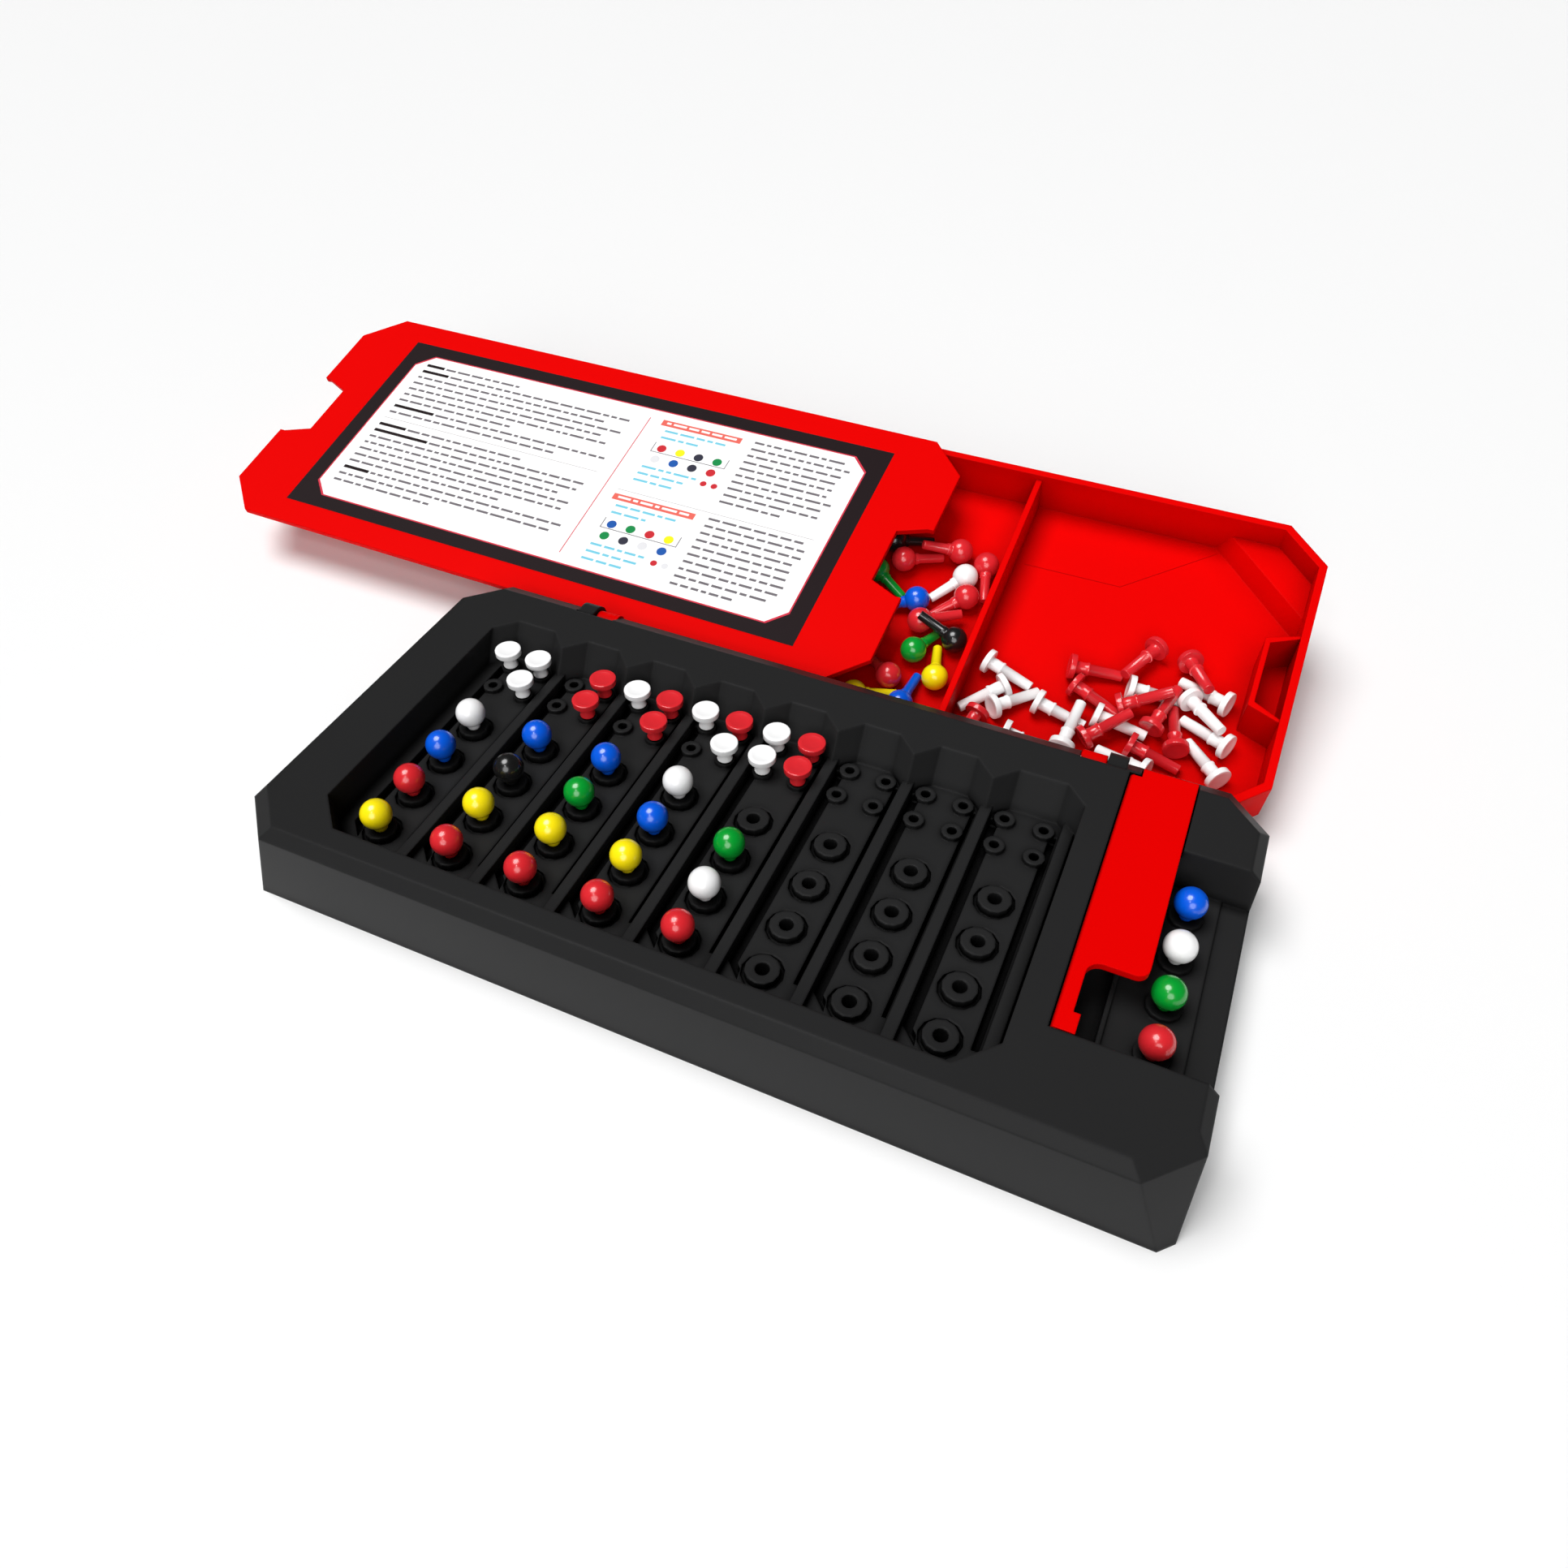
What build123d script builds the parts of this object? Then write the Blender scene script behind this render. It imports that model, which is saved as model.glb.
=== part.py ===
from build123d import *
import math
import os

# A code-breaking peg game: a black moulded case with eight guess rows and a pit for the
# secret code, a red flap that hides the pit, a red storage tray hinged along the back,
# a red lid with a printed card, and the pegs. Millimetres, +Z up, +X along the rows.
# The origin is the centre of the case's underside, on the surface that it stands on.

# Case outline: a long octagon with leaning sides and a bevel round the top
CASE_HEIGHT = 29.0
TOP_HALF_LENGTH = 122.5
TOP_HALF_DEPTH = 56.3
TOP_BACK = 54.0
TOP_CHAMFER = 11.5
BACK_CHAMFER = 9.2
BEVEL = 3.0
FOOT_HALF_LENGTH = 126.8
FOOT_CHAMFER = 3.5
WALL = 2.4
FLOOR = 2.5
BEAM_WIDTH = 1.8
SIDES = 12

# Guess field: a sunken floor with eight rows
ROWS = 8
ROW_PITCH = 22.5
FIRST_ROW_X = -92.0
CODE_HOLES = 4
CODE_PITCH = 14.4
FIRST_CODE_Y = -39.5
BOSS_TOP = 20.3
FIELD_FLOOR = BOSS_TOP - 1.4
FIELD_LEFT = FIRST_ROW_X - 13.3
FIELD_RIGHT = FIRST_ROW_X + (ROWS - 1) * ROW_PITCH + 13.9
FIELD_FRONT = -50.2
FIELD_BACK = 42.0
FIELD_BACK_FOOT = 36.4
FIELD_CHAMFER = 9.0
BAY_CHAMFER = 6.0
RIB_TOP = BOSS_TOP + 0.9
RIB_WIDTH = 3.1
RIB_OFFSET = ROW_PITCH / 2 + 0.2
GROOVE_DEPTH = 2.6
WIDE_GROOVE = 2.6
THIN_GROOVE = 1.1
LAST_GROOVE = 1.9
GROOVE_BACK = 31.0
GROOVE_TURN = 4.4
STRIP_HALF_WIDTH = ROW_PITCH / 2 - 2.05
CODE_BOSS_RADIUS = 4.4
CODE_MOAT_RADIUS = 5.5
MOAT_DEPTH = 0.8
KEY_SPREAD = ROW_PITCH / 4 - 0.225
FIRST_KEY_Y = 21.4
KEY_PITCH_Y = 10.0
KEY_BOSS_RADIUS = 2.9
KEY_BOSS_TOP = BOSS_TOP - 0.2

# Secret pit at the right end, open to the right
PIT_LEFT = 87.4
PIT_FRONT = -32.9
PIT_BACK = 30.9
PIT_FLOOR = 14.8
PIT_CHANNEL = 11.0
PIT_CHANNEL_RIGHT = 98.5
PIT_STEP_X = 119.0
PIT_STEP = 0.6
PIT_LIP_WIDTH = 1.1
PIT_LIP_HEIGHT = 0.6
PIT_PEG_X = 111.2
PIT_FIRST_Y = -21.9
PIT_PITCH = 14.5
PIT_BOSS_TOP = 16.0

# Flap over the pit, hinged along its left edge
FLAP_AXIS_X = 88.8
FLAP_AXIS_Z = 27.7
FLAP_THICK = 2.0
FLAP_RIGHT = 105.4
FLAP_FRONT = -11.5
FLAP_BACK = 56.3
FLAP_HINGE_BACK = 53.0
FLAP_HINGE_WIDTH = 1.6
FLAP_ARM_RIGHT = 91.7
FLAP_ARM_FRONT = -32.4
FLAP_TOE_RIGHT = 93.4
FLAP_TOE_LENGTH = 5.6
FLAP_CORNER = 3.0
FLAP_INNER_CORNER = 3.6
FLAP_PIN_RADIUS = 0.7
FLAP_PIN_LENGTH = 1.2
FLAP_PIN_GAP = 0.08
FLAP_GAP = 0.4

# Pegs
BALL_RADIUS = 3.96
BALL_HEIGHT = 5.05
SHANK_RADIUS = 1.7
SHANK_TIP_RADIUS = 1.5
SHANK_LENGTH = 8.8
COLLAR_RADIUS = 2.3
PEG_REST = 0.3
KEY_HEAD_RADIUS = 4.2
KEY_HEAD_TOP = 6.2
KEY_HEAD_THICK = 1.2
KEY_HEAD_BEVEL = 0.4
KEY_NECK_RADIUS = 2.1
KEY_NECK_HEIGHT = 2.6
KEY_SHANK_RADIUS = 1.2
KEY_SHANK_LENGTH = 10.5
HOLE_GAP = 0.2
CODE_HOLE_RADIUS = SHANK_RADIUS + HOLE_GAP
KEY_HOLE_RADIUS = KEY_SHANK_RADIUS + HOLE_GAP

# Hinge of the storage tray
HINGE_Y = 57.7
HINGE_Z = 23.7
HINGE_X = 83.7
LUG_WIDTH = 5.4
LUG_RADIUS = 4.6
POCKET_DROP = 10.7
POCKET_GAP = 0.5
KNUCKLE_WIDTH = 7.0
KNUCKLE_GAP = 0.3
KNUCKLE_STEP = 1.2
KNUCKLE_FOOT = 6.0
HINGE_PIN_RADIUS = 1.2
HINGE_PIN_GAP = 0.06

# Storage tray, drawn level with its rim at height 0 and then leaned back about its front
TRAY_TILT = 14.3
TRAY_HALF_LENGTH = 124.9
TRAY_DEPTH = 112.0
TRAY_HEIGHT = 16.4
TRAY_CHAMFER = 13.5
TRAY_WALL = 2.4
TRAY_FLOOR = 1.8
TRAY_FOOT = 1.6
TRAY_FRONT_Y = 60.0
TRAY_RIM_Z = 15.9
DIVIDER_X = 30.0
DIVIDER_WIDTH = 2.0
DIVIDER_DROP = 2.0
GUSSET = 16.0
GUSSET_SLOPE = 4.0
GUSSET_SHARE = 0.4
PULL_FRONT = 40.0
PULL_WIDTH = 26.0
PULL_DEPTH = 9.5
PULL_SLOPE = 4.0
PULL_WALL = 1.6
PULL_DROP = 0.8

# Lid that lies on the tray, slid to the left
LID_HALF_LENGTH = 126.0
LID_DEPTH = 108.0
LID_THICK = 1.8
LID_GAP = 0.3
LID_X = -121.3
LID_MIDDLE = 59.9
LID_TURN = -0.7
LID_CHAMFER = 13.0
LID_NOTCH_WIDTH = 30.0
LID_NOTCH_DEPTH = 11.5
LID_NOTCH_SLOPE = 4.0
CARD_HALF_LENGTH = 101.0
CARD_DEPTH = 88.5
CARD_THICK = 0.4


def octagon(left, right, front, back, cut, back_cut=None):
    """Flat octagon: a rectangle with its four corners cut off at 45 degrees."""
    rear = cut if back_cut is None else back_cut
    corners = [
        (left + cut, front), (right - cut, front), (right, front + cut), (right, back - rear),
        (right - rear, back), (left + rear, back), (left, back - rear), (left, front + cut),
    ]
    return make_face(Polyline(*corners, close=True))


def block(left, right, front, back, bottom, top):
    """Box given by its six faces."""
    size = Box(right - left, back - front, top - bottom)
    return Pos((left + right) / 2, (front + back) / 2, (bottom + top) / 2) * size


def post(x, y, bottom, top, radius):
    """Upright post for bosses and holes, which repeat often, so it is drawn with twelve flat sides."""
    return extrude(Pos(x, y, bottom) * RegularPolygon(radius, SIDES), top - bottom)


def turned(profile):
    """Small turned form given by its radii and heights from the bottom up, with twelve sides."""
    rings = [Pos(0, 0, height) * RegularPolygon(radius, SIDES) for radius, height in profile]
    return loft(rings, ruled=True)


def rod(left, right, y, z, radius):
    """Round rod along X."""
    return Pos((left + right) / 2, y, z) * Rot(0, 90, 0) * Cylinder(radius, right - left)


def row_x(row):
    return FIRST_ROW_X + ROW_PITCH * row


def code_places(row):
    return [(row_x(row), FIRST_CODE_Y + CODE_PITCH * k) for k in range(CODE_HOLES)]


def key_place(row, side, step):
    """Key hole of a row: side is -1 at the left or 1 at the right, step 0 front or 1 back."""
    return (row_x(row) + side * KEY_SPREAD, FIRST_KEY_Y + KEY_PITCH_Y * step)


def key_places(row):
    return [key_place(row, side, step) for side in (-1, 1) for step in (0, 1)]


def pit_places():
    return [(PIT_PEG_X, PIT_FIRST_Y + PIT_PITCH * k) for k in range(CODE_HOLES)]


def case_outside():
    """Leaning octagon body with a bevel round its top edge."""
    shoulder = CASE_HEIGHT - BEVEL
    side_x = TOP_HALF_LENGTH + BEVEL
    side_y = TOP_HALF_DEPTH + BEVEL
    foot = octagon(-FOOT_HALF_LENGTH, FOOT_HALF_LENGTH, -side_y, side_y, FOOT_CHAMFER)
    waist = octagon(-side_x, side_x, -side_y, side_y, TOP_CHAMFER)
    top = octagon(-TOP_HALF_LENGTH, TOP_HALF_LENGTH, -TOP_HALF_DEPTH, TOP_BACK, TOP_CHAMFER, BACK_CHAMFER)
    lower = loft([foot, Pos(0, 0, shoulder) * waist], ruled=True)
    upper = loft([Pos(0, 0, shoulder) * waist, Pos(0, 0, CASE_HEIGHT) * top], ruled=True)
    return lower + upper


def bay_outline(row, back):
    """Plan of one row's bay. Its rear corners are cut, and so are the field's two front corners."""
    left = FIELD_LEFT if row == 0 else row_x(row) - ROW_PITCH / 2
    right = FIELD_RIGHT if row == ROWS - 1 else row_x(row) + ROW_PITCH / 2
    cut = BAY_CHAMFER
    corners = [(right, back - cut), (right - cut, back), (left + cut, back), (left, back - cut)]
    if row == 0:
        corners += [(left, FIELD_FRONT + FIELD_CHAMFER), (left + FIELD_CHAMFER, FIELD_FRONT)]
    else:
        corners.append((left, FIELD_FRONT))
    if row == ROWS - 1:
        corners += [(right - FIELD_CHAMFER, FIELD_FRONT), (right, FIELD_FRONT + FIELD_CHAMFER)]
    else:
        corners.append((right, FIELD_FRONT))
    return make_face(Polyline(*corners, close=True))


def bay(row):
    """Sunken bay of one row: upright at the front and sides, sloping up at the back."""
    low = Pos(0, 0, FIELD_FLOOR) * bay_outline(row, FIELD_BACK_FOOT)
    high = Pos(0, 0, CASE_HEIGHT) * bay_outline(row, FIELD_BACK)
    return loft([low, high], ruled=True)


def row_grooves(row):
    """Two grooves along a row. The wide one turns in at its front end."""
    start = FIRST_CODE_Y
    bottom = FIELD_FLOOR - GROOVE_DEPTH
    left = row_x(row) - STRIP_HALF_WIDTH
    inner = left + WIDE_GROOVE
    tip = start - GROOVE_TURN
    wide = make_face(Polyline(
        (left, GROOVE_BACK), (left, start), (left + GROOVE_TURN, tip),
        (inner + WIDE_GROOVE / 2, start - WIDE_GROOVE / 2), (inner, start), (inner, GROOVE_BACK), close=True,
    ))
    turning = extrude(Pos(0, 0, bottom) * wide, GROOVE_DEPTH)
    width = LAST_GROOVE if row == ROWS - 1 else THIN_GROOVE
    right = row_x(row) + STRIP_HALF_WIDTH
    straight = block(right - width, right, start, GROOVE_BACK, bottom, FIELD_FLOOR)
    return [turning, straight]


def case_shell():
    """The black case in one moulding, open underneath, with its hinge lugs."""
    body = case_outside()
    body = body - [bay(row) for row in range(ROWS)]
    pit = block(PIT_LEFT, FOOT_HALF_LENGTH + 1, PIT_FRONT, PIT_BACK, PIT_FLOOR, CASE_HEIGHT)
    channel = block(PIT_LEFT, PIT_CHANNEL_RIGHT, PIT_FRONT, PIT_BACK, PIT_CHANNEL, PIT_FLOOR)
    step = block(PIT_STEP_X, FOOT_HALF_LENGTH + 1, PIT_FRONT, PIT_BACK, PIT_FLOOR - PIT_STEP, PIT_FLOOR)
    body = body - [pit, channel, step]
    lip = block(PIT_CHANNEL_RIGHT, PIT_CHANNEL_RIGHT + PIT_LIP_WIDTH, PIT_FRONT, PIT_BACK,
                PIT_CHANNEL, PIT_FLOOR + PIT_LIP_HEIGHT)
    body = body + lip

    right = FLAP_RIGHT + FLAP_GAP
    seat_bottom = FLAP_AXIS_Z - FLAP_THICK / 2 - FLAP_GAP
    seat = block(PIT_LEFT, right, PIT_BACK, FLAP_HINGE_BACK + FLAP_GAP, seat_bottom, CASE_HEIGHT)
    hinge_right = FLAP_AXIS_X + FLAP_HINGE_WIDTH
    seat_end = block(hinge_right, right, PIT_BACK, FLAP_BACK + BEVEL, seat_bottom, CASE_HEIGHT)
    middle = (FLAP_ARM_FRONT + FLAP_HINGE_BACK) / 2
    reach = FLAP_HINGE_BACK - FLAP_ARM_FRONT + 2 * FLAP_PIN_LENGTH + 2 * FLAP_PIN_GAP
    socket_radius = FLAP_PIN_RADIUS + FLAP_PIN_GAP
    sockets = Pos(FLAP_AXIS_X, middle, FLAP_AXIS_Z) * Rot(90, 0, 0) * Cylinder(socket_radius, reach)
    body = body - [seat, seat_end, sockets]

    cuts = []
    for row in range(ROWS):
        cuts += row_grooves(row)
        for x, y in code_places(row):
            moat = post(x, y, FIELD_FLOOR - MOAT_DEPTH, FIELD_FLOOR, CODE_MOAT_RADIUS)
            cuts.append(moat)
    body = body - cuts

    additions = []
    rib_back = FIELD_BACK_FOOT + 0.5
    for row in range(ROWS):
        x = row_x(row) + RIB_OFFSET
        rib = block(x - RIB_WIDTH / 2, x + RIB_WIDTH / 2, FIELD_FRONT - 0.5, rib_back, FIELD_FLOOR, RIB_TOP)
        additions.append(rib)
    for row in range(ROWS):
        for x, y in code_places(row):
            additions.append(post(x, y, FIELD_FLOOR - MOAT_DEPTH, BOSS_TOP, CODE_BOSS_RADIUS))
        for x, y in key_places(row):
            additions.append(post(x, y, FIELD_FLOOR, KEY_BOSS_TOP, KEY_BOSS_RADIUS))
    for x, y in pit_places():
        additions.append(post(x, y, PIT_FLOOR, PIT_BOSS_TOP, CODE_BOSS_RADIUS))
    body = body + additions

    body = body - case_hollow()

    holes = []
    for row in range(ROWS):
        holes += [post(x, y, 0, BOSS_TOP, CODE_HOLE_RADIUS) for x, y in code_places(row)]
        holes += [post(x, y, 0, BOSS_TOP, KEY_HOLE_RADIUS) for x, y in key_places(row)]
    holes += [post(x, y, 0, PIT_BOSS_TOP, CODE_HOLE_RADIUS) for x, y in pit_places()]
    body = body - holes

    body = body + case_beams()
    return hinge_side(body)


def case_hollow():
    """Open underside: a deep room under the guess field and a lower one under the pit."""
    side_y = TOP_HALF_DEPTH + BEVEL - WALL
    field_top = FIELD_FLOOR - GROOVE_DEPTH - FLOOR
    pit_top = PIT_CHANNEL - FLOOR
    wide = octagon(-FOOT_HALF_LENGTH + 2 * WALL, FOOT_HALF_LENGTH - 2 * WALL, -side_y, side_y, TOP_CHAMFER)
    low = extrude(wide, pit_top)
    back = HINGE_Y - LUG_RADIUS - 2 * WALL
    room = octagon(-FOOT_HALF_LENGTH + 2 * WALL, PIT_LEFT - WALL, -side_y, back, TOP_CHAMFER)
    deep = extrude(room, field_top)
    return [low, deep]


def case_beams():
    """Stiffening beams under the floor, clear of the peg tips. One runs under the centre."""
    side_y = TOP_HALF_DEPTH + BEVEL - WALL / 2
    top = FIELD_FLOOR - GROOVE_DEPTH
    low_top = PIT_CHANNEL - FLOOR / 2
    middle_y = FIRST_CODE_Y + 2.5 * CODE_PITCH
    long_beam = block(-FOOT_HALF_LENGTH + WALL, PIT_LEFT, middle_y - 1.6, 1.0, 0, top)
    pit_beam = block(PIT_LEFT, FOOT_HALF_LENGTH - WALL, middle_y - 1.6, 1.0, 0, low_top)
    beams = [long_beam, pit_beam]
    for row in (0, 2, 4, 6):
        x = row_x(row) + ROW_PITCH / 2
        beams.append(block(x - BEAM_WIDTH / 2, x + BEAM_WIDTH / 2, -side_y, side_y, 2.0, top))
    return beams


def span(side, near, far):
    """Left and right ends of a piece of the hinge, from its distances to the lug's middle."""
    ends = (side * (HINGE_X - near), side * (HINGE_X - far))
    return min(ends), max(ends)


def hinge_side(body):
    """Pockets in the back wall for the tray's two knuckles, and the lugs with their pin holes."""
    back = TOP_HALF_DEPTH + BEVEL + 1
    reach = LUG_RADIUS - KNUCKLE_STEP + POCKET_GAP
    half = LUG_WIDTH / 2
    for side in (-1, 1):
        x = side * HINGE_X
        left, right = span(side, -half, half + KNUCKLE_WIDTH + 2 * KNUCKLE_GAP)
        pocket = block(left, right, HINGE_Y - reach, back, HINGE_Z - POCKET_DROP, CASE_HEIGHT)
        lug = rod(x - half, x + half, HINGE_Y, HINGE_Z, LUG_RADIUS)
        root = block(x - half, x + half, HINGE_Y - reach - 1, HINGE_Y,
                     HINGE_Z - LUG_RADIUS, HINGE_Z + LUG_RADIUS)
        left, right = span(side, -half, half + 1)
        bore = rod(left, right, HINGE_Y, HINGE_Z, HINGE_PIN_RADIUS)
        body = body - pocket + [lug, root] - bore
    return body


def hinge_pin(side):
    """Plain pin pressed through a lug, with its inner end in the tray's knuckle."""
    half = LUG_WIDTH / 2
    left, right = span(side, -half, half + KNUCKLE_GAP + KNUCKLE_WIDTH - 0.5)
    return rod(left, right, HINGE_Y, HINGE_Z, HINGE_PIN_RADIUS)


def flap():
    """Red flap: a plate with a long arm at its front left, a toe on the arm and a pin at each end."""
    left = FLAP_AXIS_X
    toe_back = FLAP_ARM_FRONT + FLAP_TOE_LENGTH
    hinge_right = left + FLAP_HINGE_WIDTH + FLAP_GAP
    outline = make_face(Polyline(
        (left, FLAP_ARM_FRONT), (FLAP_TOE_RIGHT, FLAP_ARM_FRONT), (FLAP_TOE_RIGHT, toe_back),
        (FLAP_ARM_RIGHT, toe_back), (FLAP_ARM_RIGHT, FLAP_FRONT), (FLAP_RIGHT, FLAP_FRONT),
        (FLAP_RIGHT, FLAP_BACK), (hinge_right, FLAP_BACK), (hinge_right, FLAP_HINGE_BACK),
        (left, FLAP_HINGE_BACK), close=True,
    ))
    outer = outline.vertices().sort_by_distance((FLAP_RIGHT, FLAP_FRONT, 0))[0]
    outline = fillet(outer, FLAP_CORNER)
    inner = outline.vertices().sort_by_distance((FLAP_ARM_RIGHT, FLAP_FRONT, 0))[0]
    outline = fillet(inner, FLAP_INNER_CORNER)
    plate = extrude(Pos(0, 0, FLAP_AXIS_Z - FLAP_THICK / 2) * outline, FLAP_THICK)
    length = FLAP_HINGE_BACK - FLAP_ARM_FRONT
    axis = Pos(left, (FLAP_ARM_FRONT + FLAP_HINGE_BACK) / 2, FLAP_AXIS_Z) * Rot(90, 0, 0)
    edge = axis * Cylinder(FLAP_THICK / 2, length)
    pins = axis * Cylinder(FLAP_PIN_RADIUS, length + 2 * FLAP_PIN_LENGTH)
    return plate + edge + pins


def code_peg():
    """Round-headed peg standing on height 0, with a collar and a slightly tapered shank."""
    ball = []
    for angle in (-27, 0, 30, 60, 80):
        radius = BALL_RADIUS * math.cos(math.radians(angle))
        ball.append((radius, BALL_HEIGHT + BALL_RADIUS * math.sin(math.radians(angle))))
    collar_top = BALL_HEIGHT - math.sqrt(BALL_RADIUS ** 2 - COLLAR_RADIUS ** 2)
    head = turned([(COLLAR_RADIUS, 0), (COLLAR_RADIUS, collar_top)] + ball)
    shank = turned([(SHANK_TIP_RADIUS, -SHANK_LENGTH), (SHANK_RADIUS, 0)])
    return head + shank


def key_peg():
    """Small peg with a flat round head on a flared neck."""
    head_foot = KEY_HEAD_TOP - KEY_HEAD_THICK
    head = turned([
        (KEY_NECK_RADIUS, 0), (KEY_NECK_RADIUS, KEY_NECK_HEIGHT), (KEY_HEAD_RADIUS, head_foot),
        (KEY_HEAD_RADIUS, KEY_HEAD_TOP - KEY_HEAD_BEVEL), (KEY_HEAD_RADIUS - KEY_HEAD_BEVEL, KEY_HEAD_TOP),
    ])
    shank = turned([(KEY_SHANK_RADIUS, -KEY_SHANK_LENGTH), (KEY_SHANK_RADIUS, 0)])
    return head + shank


def lean(shape):
    """Place a shape drawn level, with the tray's front rim edge on the origin, on the leaning tray."""
    return Pos(0, TRAY_FRONT_Y, TRAY_RIM_Z) * Rot(TRAY_TILT, 0, 0) * shape


def pull_outline(wall):
    """Plan of the finger pull in the tray's right wall, made smaller by a wall thickness."""
    right = TRAY_HALF_LENGTH - TRAY_WALL / 2 if wall == 0 else TRAY_HALF_LENGTH - TRAY_WALL
    inner = TRAY_HALF_LENGTH - TRAY_WALL - PULL_DEPTH + wall
    front = PULL_FRONT + wall
    back = PULL_FRONT + PULL_WIDTH - wall
    return make_face(Polyline(
        (right, front - PULL_SLOPE), (inner, front), (inner, back), (right, back + PULL_SLOPE), close=True,
    ))


def gusset_outline(size):
    """Plan of the gusset in the tray's rear right corner."""
    right = TRAY_HALF_LENGTH - TRAY_WALL / 2
    back = TRAY_DEPTH - TRAY_WALL / 2
    cut = TRAY_CHAMFER
    return make_face(Polyline(
        (right, back - cut - size), (right - cut - size, back), (right - cut, back), (right, back - cut),
        close=True,
    ))


def tray():
    """Red storage tray with one divider, two corner gussets, a finger pull and hinge knuckles."""
    half = TRAY_HALF_LENGTH
    outer = octagon(-half, half, 0, TRAY_DEPTH, TRAY_CHAMFER)
    foot = octagon(-half + TRAY_FOOT, half - TRAY_FOOT, TRAY_FOOT, TRAY_DEPTH - TRAY_FOOT, TRAY_CHAMFER)
    body = extrude(Pos(0, 0, -TRAY_HEIGHT + TRAY_FOOT) * outer, TRAY_HEIGHT - TRAY_FOOT)
    tapered = loft([Pos(0, 0, -TRAY_HEIGHT) * foot, Pos(0, 0, -TRAY_HEIGHT + TRAY_FOOT) * outer], ruled=True)
    body = body + tapered
    wall = TRAY_WALL
    room = octagon(-half + wall, half - wall, wall, TRAY_DEPTH - wall, TRAY_CHAMFER - wall / 2)
    body = body - extrude(Pos(0, 0, -TRAY_HEIGHT + TRAY_FLOOR) * room, TRAY_HEIGHT)
    low = -TRAY_HEIGHT + TRAY_FLOOR / 2
    divider = block(DIVIDER_X - DIVIDER_WIDTH / 2, DIVIDER_X + DIVIDER_WIDTH / 2,
                    wall / 2, TRAY_DEPTH - wall / 2, low, -DIVIDER_DROP)
    floor = -TRAY_HEIGHT + TRAY_FLOOR
    outer_pull = extrude(Pos(0, 0, low) * pull_outline(0), -PULL_DROP - low)
    inner_pull = extrude(Pos(0, 0, floor) * pull_outline(PULL_WALL), -floor + 1)
    body = body + [divider, outer_pull] - inner_pull
    steep = Pos(0, 0, floor) * gusset_outline(GUSSET + GUSSET_SLOPE)
    ridge = Pos(0, 0, floor + TRAY_HEIGHT * GUSSET_SHARE) * gusset_outline(GUSSET)
    body = body + loft([steep, ridge], ruled=True)
    return lean(body) + knuckles()


def knuckles():
    """Two knuckles, one inside each lug: an eye on an arm up from the tray's front wall."""
    radius = LUG_RADIUS - KNUCKLE_STEP
    foot = TRAY_RIM_Z - KNUCKLE_FOOT
    shoulder = TRAY_RIM_Z - 1.0
    pieces = []
    for side in (-1, 1):
        near = LUG_WIDTH / 2 + KNUCKLE_GAP
        left, right = span(side, near, near + KNUCKLE_WIDTH)
        eye = rod(left, right, HINGE_Y, HINGE_Z, radius)
        arm = Plane.YZ * make_face(Polyline(
            (HINGE_Y - 0.5, HINGE_Z - radius + 0.3), (HINGE_Y + radius, HINGE_Z),
            (TRAY_FRONT_Y + 2.2, shoulder), (TRAY_FRONT_Y + 1.6, foot),
            (TRAY_FRONT_Y + 0.8, foot), (TRAY_FRONT_Y, shoulder), close=True,
        ))
        bore = rod(left - 1, right + 1, HINGE_Y, HINGE_Z, HINGE_PIN_RADIUS + HINGE_PIN_GAP)
        pieces.append(eye + extrude(Pos(left, 0, 0) * arm, KNUCKLE_WIDTH, dir=(1, 0, 0)) - bore)
    return pieces


def lid_outline(half, depth, cut):
    """Octagon with a finger notch in each short end."""
    face = octagon(-half, half, -depth / 2, depth / 2, cut)
    for side in (-1, 1):
        wide = LID_NOTCH_WIDTH / 2
        inner = half - LID_NOTCH_DEPTH
        mouth = half - LID_NOTCH_SLOPE / 2
        notch = make_face(Polyline(
            (side * (half + 1), -wide), (side * mouth, -wide), (side * inner, -wide + LID_NOTCH_SLOPE),
            (side * inner, wide - LID_NOTCH_SLOPE), (side * mouth, wide), (side * (half + 1), wide),
            close=True,
        ))
        face = face - notch
    return face


def place_lid(shape):
    """Lay a level shape on the rims of the tray, slid to the left and turned a little."""
    return lean(Pos(LID_X, LID_MIDDLE, LID_GAP) * Rot(0, 0, LID_TURN) * shape)


def card_sheet():
    """The printed card, level, with its top flush with the lid's."""
    return block(-CARD_HALF_LENGTH, CARD_HALF_LENGTH, -CARD_DEPTH / 2, CARD_DEPTH / 2,
                 LID_THICK - CARD_THICK, LID_THICK)


def lid():
    """Flat lid with a shallow bed that the card fills."""
    plate = extrude(lid_outline(LID_HALF_LENGTH, LID_DEPTH, LID_CHAMFER), LID_THICK)
    return place_lid(plate - card_sheet())


def card():
    return place_lid(card_sheet())


def lying(peg, length, head_height, head_radius, tip_radius, place):
    """Peg lying on the tray floor on its head. Its tip lies on the floor or is raised over others."""
    x, v, turn, rise = place
    slope = math.degrees(math.asin((head_radius - tip_radius - rise) / length))
    flat = Rot(0, 90 - slope, 0) * Pos(0, 0, -head_height) * peg
    height = -TRAY_HEIGHT + TRAY_FLOOR + head_radius + PEG_REST
    return lean(Pos(x, v, height) * Rot(0, 0, turn) * flat)


def lying_code_peg(peg, place):
    return lying(peg, BALL_HEIGHT + SHANK_LENGTH, BALL_HEIGHT, BALL_RADIUS, SHANK_TIP_RADIUS, place)


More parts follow.
